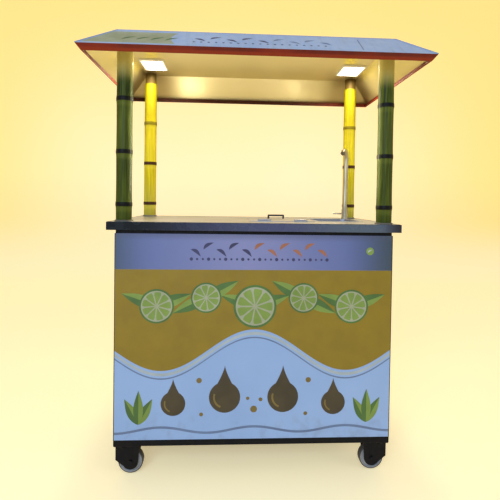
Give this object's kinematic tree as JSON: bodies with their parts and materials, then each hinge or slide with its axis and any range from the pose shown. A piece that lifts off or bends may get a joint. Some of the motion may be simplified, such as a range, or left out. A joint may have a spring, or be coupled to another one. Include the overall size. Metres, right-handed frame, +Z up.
{
  "type": "sugarcane juice cart",
  "caption": "Wheeled steel juice cart that houses an electric roller mill for sugarcane, with a worktop, hatch, sink and tap, cane-look posts and a hipped canopy with lamps.",
  "frame": {"origin": "on the floor, under the middle of the cart", "axes": "+X to the customer's right, +Y from the customer's side to the operator's side, +Z up"},
  "size_m": [1.385, 0.835, 1.813],
  "materials": {
    "frame_paint": "satin black paint",
    "panel_paint": "satin pale blue paint with a printed front",
    "sheet_steel": "brushed stainless sheet",
    "edge_band": "glossy dark band",
    "hinge_steel": "plain steel",
    "pull_steel": "polished",
    "handle_plastic": "moulded black",
    "tap_chrome": "polished chrome",
    "drain_steel": "stainless",
    "can_plastic": "milky moulded plastic",
    "core_paint": "tan paint",
    "cane_green": "printed cane look",
    "cane_yellow": "printed cane look",
    "roof_paint": "satin pale blue paint",
    "lining_gold": "glossy beige lining",
    "trim_red": "glossy dark red",
    "lamp_white": "white paint",
    "lamp_lens": "frosted diffuser",
    "caster_black": "black coating",
    "wheel_grey": "moulded grey",
    "mill_paint": "grey paint",
    "bright_steel": "turned bright",
    "bush_bronze": "turned bronze",
    "gear_iron": "cut teeth, oiled",
    "motor_paint": "blue enamel",
    "food_steel": "stainless sheet",
    "bin_steel": "galvanised sheet",
    "box_grey": "light grey paint",
    "control_black": "moulded black",
    "stop_red": "glossy red"
  },
  "bodies": {
    "cart": {"base_frame": "frame_paint", "cabinet_frame": "frame_paint", "motor_stand": "frame_paint", "front_panel": "panel_paint", "side_panels": "panel_paint", "rear_panel": "panel_paint", "countertop": "sheet_steel", "floor_shelf": "sheet_steel", "counter_edge": "edge_band", "butt_hinges": "hinge_steel", "tap_base": "tap_chrome", "sink_drain": "drain_steel", "water_cans": "can_plastic", "post_cores": "core_paint", "front_sleeves": "cane_green", "rear_sleeves": "cane_yellow", "roof_shell": "roof_paint", "ceiling_lining": "lining_gold", "eave_trim": "trim_red", "lamp_housings": "lamp_white", "lamp_lenses": "lamp_lens", "caster_plates": "caster_black", "mill_plates": "mill_paint", "mill_tie_rods": "bright_steel", "turn_plate": "bright_steel", "roller_bushes": "bush_bronze", "gear_motor": "motor_paint", "sink_bowl": "food_steel", "juice_tray": "food_steel", "juice_strainer": "food_steel", "juice_pot": "food_steel", "feed_chute": "food_steel", "switch_box": "box_grey", "power_inlet": "control_black"},
    "door_left": {"door_left": "panel_paint", "door_pull_left": "pull_steel"},
    "door_right": {"door_right": "panel_paint", "door_pull_right": "pull_steel"},
    "hatch": {"hatch_lid": "sheet_steel", "hatch_handle": "handle_plastic"},
    "tap_neck": {"tap_neck": "tap_chrome"},
    "tap_lever": {"tap_lever": "tap_chrome"},
    "top_roller": {"top_roller": "bright_steel", "top_gear": "gear_iron"},
    "feed_roller": {"feed_roller": "bright_steel", "feed_gear": "gear_iron"},
    "discharge_roller": {"discharge_roller": "bright_steel", "discharge_gear": "gear_iron"},
    "drive_pinion": {"drive_pinion": "gear_iron"},
    "bagasse_bin": {"bagasse_bin": "bin_steel"},
    "direction_knob": {"direction_knob": "control_black"},
    "stop_button": {"stop_button": "stop_red"},
    "caster_fork_fl": {"caster_fork_fl": "caster_black"},
    "caster_wheel_fl": {"caster_wheel_fl": "wheel_grey"},
    "caster_fork_fr": {"caster_fork_fr": "caster_black"},
    "caster_wheel_fr": {"caster_wheel_fr": "wheel_grey"},
    "caster_fork_rl": {"caster_fork_rl": "caster_black"},
    "caster_wheel_rl": {"caster_wheel_rl": "wheel_grey"},
    "caster_fork_rr": {"caster_fork_rr": "caster_black"},
    "caster_wheel_rr": {"caster_wheel_rr": "wheel_grey"}
  },
  "joints": [
    {"name": "swivel_fl", "type": "hinge", "parent": "cart", "child": "caster_fork_fl", "pos_m": [-0.53, -0.268, 0.12], "axis": [0, 0, 1], "continuous": true},
    {"name": "wheel_spin_fl", "type": "hinge", "parent": "caster_fork_fl", "child": "caster_wheel_fl", "pos_m": [-0.505, -0.268, 0.051], "axis": [0, 1, 0], "continuous": true},
    {"name": "swivel_fr", "type": "hinge", "parent": "cart", "child": "caster_fork_fr", "pos_m": [0.53, -0.268, 0.12], "axis": [0, 0, 1], "continuous": true},
    {"name": "wheel_spin_fr", "type": "hinge", "parent": "caster_fork_fr", "child": "caster_wheel_fr", "pos_m": [0.505, -0.268, 0.051], "axis": [0, 1, 0], "continuous": true},
    {"name": "swivel_rl", "type": "hinge", "parent": "cart", "child": "caster_fork_rl", "pos_m": [-0.53, 0.268, 0.12], "axis": [0, 0, 1], "continuous": true},
    {"name": "wheel_spin_rl", "type": "hinge", "parent": "caster_fork_rl", "child": "caster_wheel_rl", "pos_m": [-0.505, 0.268, 0.051], "axis": [0, 1, 0], "continuous": true},
    {"name": "swivel_rr", "type": "hinge", "parent": "cart", "child": "caster_fork_rr", "pos_m": [0.53, 0.268, 0.12], "axis": [0, 0, 1], "continuous": true},
    {"name": "wheel_spin_rr", "type": "hinge", "parent": "caster_fork_rr", "child": "caster_wheel_rr", "pos_m": [0.505, 0.268, 0.051], "axis": [0, 1, 0], "continuous": true},
    {"name": "door_left_swing", "type": "hinge", "parent": "cart", "child": "door_left", "pos_m": [-0.542, 0.3131, 0.4], "axis": [0, 0, 1], "range_deg": [0, 110]},
    {"name": "door_right_swing", "type": "hinge", "parent": "cart", "child": "door_right", "pos_m": [0.542, 0.3131, 0.4], "axis": [0, 0, -1], "range_deg": [0, 110]},
    {"name": "hatch_lift", "type": "hinge", "parent": "cart", "child": "hatch", "pos_m": [0.125, -0.1703, 1.049], "axis": [1, 0, 0], "range_deg": [0, 100]},
    {"name": "tap_swivel", "type": "hinge", "parent": "cart", "child": "tap_neck", "pos_m": [0.5, 0.179, 1.094], "axis": [0, 0, 1], "range_deg": [-60, 60]},
    {"name": "tap_lever_turn", "type": "hinge", "parent": "cart", "child": "tap_lever", "pos_m": [0.5, 0.1953, 1.071], "axis": [0, 1, 0], "range_deg": [0, 90]},
    {"name": "top_roller_spin", "type": "hinge", "parent": "cart", "child": "top_roller", "pos_m": [0.125, 0, 0.815], "axis": [1, 0, 0], "continuous": true},
    {"name": "feed_roller_spin", "type": "hinge", "parent": "cart", "child": "feed_roller", "pos_m": [0.125, 0.04015, 0.7289], "axis": [1, 0, 0], "continuous": true},
    {"name": "discharge_roller_spin", "type": "hinge", "parent": "cart", "child": "discharge_roller", "pos_m": [0.125, -0.06718, 0.74782], "axis": [1, 0, 0], "continuous": true},
    {"name": "drive_pinion_spin", "type": "hinge", "parent": "cart", "child": "drive_pinion", "pos_m": [0.125, -0.08157, 0.85304], "axis": [1, 0, 0], "continuous": true},
    {"name": "bin_slide", "type": "slide", "parent": "cart", "child": "bagasse_bin", "axis": [0, 1, 0], "range_m": [0, 0.4]},
    {"name": "direction_turn", "type": "hinge", "parent": "cart", "child": "direction_knob", "pos_m": [-0.33, 0.308, 0.88], "axis": [0, 1, 0], "range_deg": [-45, 45]},
    {"name": "stop_press", "type": "slide", "parent": "cart", "child": "stop_button", "axis": [0, -1, 0], "range_m": [0, 0.005], "stiffness_N_per_m": 400}
  ],
  "couplings": [
    {"joint": "feed_roller_spin", "follows": "top_roller_spin", "ratio": -1},
    {"joint": "discharge_roller_spin", "follows": "top_roller_spin", "ratio": -1},
    {"joint": "drive_pinion_spin", "follows": "top_roller_spin", "ratio": -1.1176}
  ]
}
